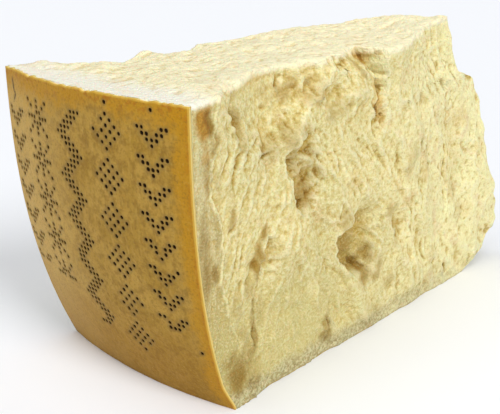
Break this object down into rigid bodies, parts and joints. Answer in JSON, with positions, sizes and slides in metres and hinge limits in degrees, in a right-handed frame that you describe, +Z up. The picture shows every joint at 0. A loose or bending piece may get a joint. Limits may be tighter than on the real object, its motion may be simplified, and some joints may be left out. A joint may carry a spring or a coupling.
{
  "type": "parmesan chunk",
  "caption": "Craggy wedge of hard aged cheese broken from the lower half of a wheel, with its barrel-shaped rind at one end.",
  "frame": {"origin": "middle of the chunk's own box, on the underside that it rests on", "axes": "+X from the rind towards the broken point of the wedge, +Y towards the back break, +Z up, with the wheel's flat face down"},
  "size_m": [0.218, 0.1018, 0.1221],
  "materials": {
    "cheese_paste": "pale straw-coloured granular crumb, dry and matte",
    "cheese_rind": "smooth waxy tan crust pricked with rows of dark dots"
  },
  "bodies": {
    "root": {"cheese_chunk": "cheese_paste"}
  },
  "joints": []
}
